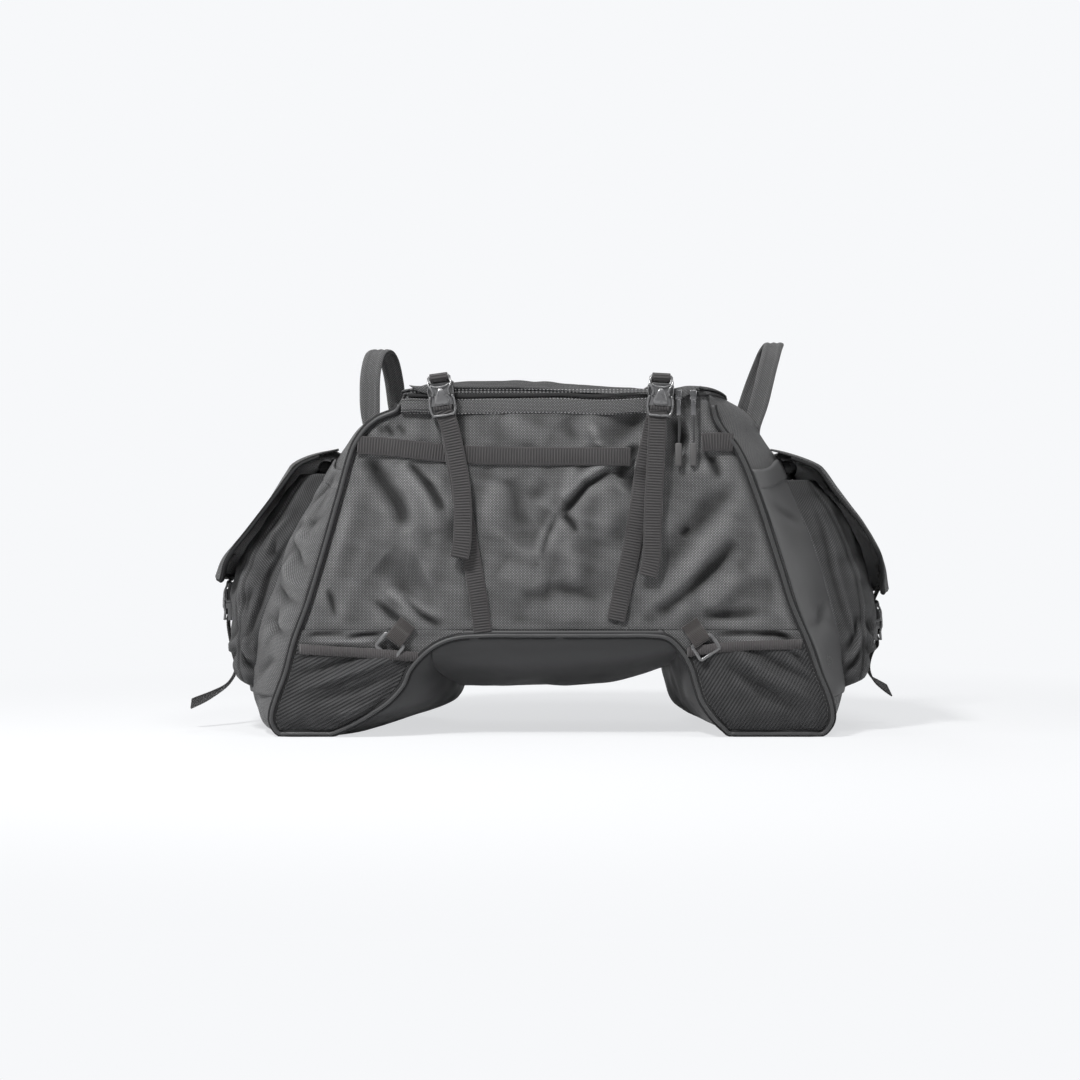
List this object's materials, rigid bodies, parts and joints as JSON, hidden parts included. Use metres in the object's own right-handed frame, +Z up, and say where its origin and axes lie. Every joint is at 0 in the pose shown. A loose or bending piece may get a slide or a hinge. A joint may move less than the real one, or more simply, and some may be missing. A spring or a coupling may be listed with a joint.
{
  "type": "motorcycle tail bag",
  "caption": "Large soft motorcycle tail bag in dark grey nylon, with saddle legs, end pouches, zipped lid, buckled webbing straps and two carry handles",
  "frame": {"origin": "bottom centre of the bounding box, on the surface that the legs stand on", "axes": "+X along the bag's length, to the right as seen from its front; -Y out of the front panel; +Z up"},
  "size_m": [0.835, 0.3546, 0.461],
  "materials": {
    "ballistic": "matt ballistic nylon weave",
    "smooth_cloth": "smooth matt nylon",
    "coated_base": "smooth coated cloth",
    "mesh": "ribbed mesh",
    "webbing": "ribbed webbing",
    "trim": "satin",
    "buckle_plastic": "gloss black",
    "dark_metal": "black gloss"
  },
  "bodies": {
    "bag": {"main_bag": "ballistic", "lid_panel": "ballistic", "base_panel": "coated_base", "left_leg": "ballistic", "right_leg": "ballistic", "front_piping": "trim", "back_piping": "trim", "zip_chain": "trim", "zip_band": "webbing", "front_cross_webbing": "webbing", "front_cross_stub": "webbing", "back_cross_webbing": "webbing", "left_end_panel": "smooth_cloth", "left_pouch": "ballistic", "left_flap": "ballistic", "left_mesh_pocket": "mesh", "left_handle": "ballistic", "left_front_socket": "buckle_plastic", "left_front_strap": "webbing", "left_lid_strap": "webbing", "left_pouch_socket": "buckle_plastic", "left_flap_strap": "webbing", "left_pouch_strap": "webbing", "left_front_tab": "webbing", "left_back_tab": "webbing", "right_end_panel": "smooth_cloth", "right_pouch": "ballistic", "right_flap": "ballistic", "right_mesh_pocket": "mesh", "right_handle": "ballistic", "right_front_socket": "buckle_plastic", "right_front_strap": "webbing", "right_lid_strap": "webbing", "right_pouch_socket": "buckle_plastic", "right_flap_strap": "webbing", "right_pouch_strap": "webbing", "right_front_tab": "webbing", "right_back_tab": "webbing"},
    "left_front_plug_body": {"left_front_plug": "buckle_plastic", "left_front_tail": "webbing"},
    "left_pouch_plug_body": {"left_pouch_plug": "buckle_plastic", "left_pouch_tail": "webbing"},
    "left_slider_body": {"left_slider": "dark_metal"},
    "left_pull": {"left_pull_tab": "dark_metal", "left_pull_cord": "trim", "left_pull_grip": "trim"},
    "left_front_ring_body": {"left_front_ring": "buckle_plastic"},
    "left_back_ring_body": {"left_back_ring": "buckle_plastic"},
    "right_front_plug_body": {"right_front_plug": "buckle_plastic", "right_front_tail": "webbing"},
    "right_pouch_plug_body": {"right_pouch_plug": "buckle_plastic", "right_pouch_tail": "webbing"},
    "right_slider_body": {"right_slider": "dark_metal"},
    "right_pull": {"right_pull_tab": "dark_metal", "right_pull_cord": "trim", "right_pull_grip": "trim"},
    "right_front_ring_body": {"right_front_ring": "buckle_plastic"},
    "right_back_ring_body": {"right_back_ring": "buckle_plastic"}
  },
  "joints": [
    {"name": "left_front_buckle", "type": "slide", "parent": "bag", "child": "left_front_plug_body", "axis": [0.1392, 0, -0.9903], "range_m": [0, 0.022]},
    {"name": "left_pouch_buckle", "type": "slide", "parent": "bag", "child": "left_pouch_plug_body", "axis": [0, 0, -1], "range_m": [0, 0.02]},
    {"name": "left_zip_slide", "type": "slide", "parent": "bag", "child": "left_slider_body", "axis": [1, 0, 0], "range_m": [0, 0.007]},
    {"name": "left_pull_hinge", "type": "hinge", "parent": "left_slider_body", "child": "left_pull", "pos_m": [0.147, -0.1727, 0.377], "axis": [-1, 0, 0], "range_deg": [0, 150]},
    {"name": "left_front_ring_hinge", "type": "hinge", "parent": "bag", "child": "left_front_ring_body", "pos_m": [-0.169, -0.1701, 0.11], "axis": [-0.788, 0, 0.6157], "range_deg": [0, 150]},
    {"name": "left_back_ring_hinge", "type": "hinge", "parent": "bag", "child": "left_back_ring_body", "pos_m": [-0.169, 0.1701, 0.11], "axis": [0.788, 0, -0.6157], "range_deg": [0, 150]},
    {"name": "right_front_buckle", "type": "slide", "parent": "bag", "child": "right_front_plug_body", "axis": [-0.0523, 0, -0.9986], "range_m": [0, 0.022]},
    {"name": "right_pouch_buckle", "type": "slide", "parent": "bag", "child": "right_pouch_plug_body", "axis": [0, 0, -1], "range_m": [0, 0.02]},
    {"name": "right_zip_slide", "type": "slide", "parent": "bag", "child": "right_slider_body", "axis": [1, 0, 0], "range_m": [0, 0.01]},
    {"name": "right_pull_hinge", "type": "hinge", "parent": "right_slider_body", "child": "right_pull", "pos_m": [0.1635, -0.1727, 0.377], "axis": [-1, 0, 0], "range_deg": [0, 150]},
    {"name": "right_front_ring_hinge", "type": "hinge", "parent": "bag", "child": "right_front_ring_body", "pos_m": [0.1725, -0.1701, 0.109], "axis": [-0.829, 0, -0.5592], "range_deg": [0, 150]},
    {"name": "right_back_ring_hinge", "type": "hinge", "parent": "bag", "child": "right_back_ring_body", "pos_m": [0.1725, 0.1701, 0.109], "axis": [0.829, 0, 0.5592], "range_deg": [0, 150]}
  ]
}
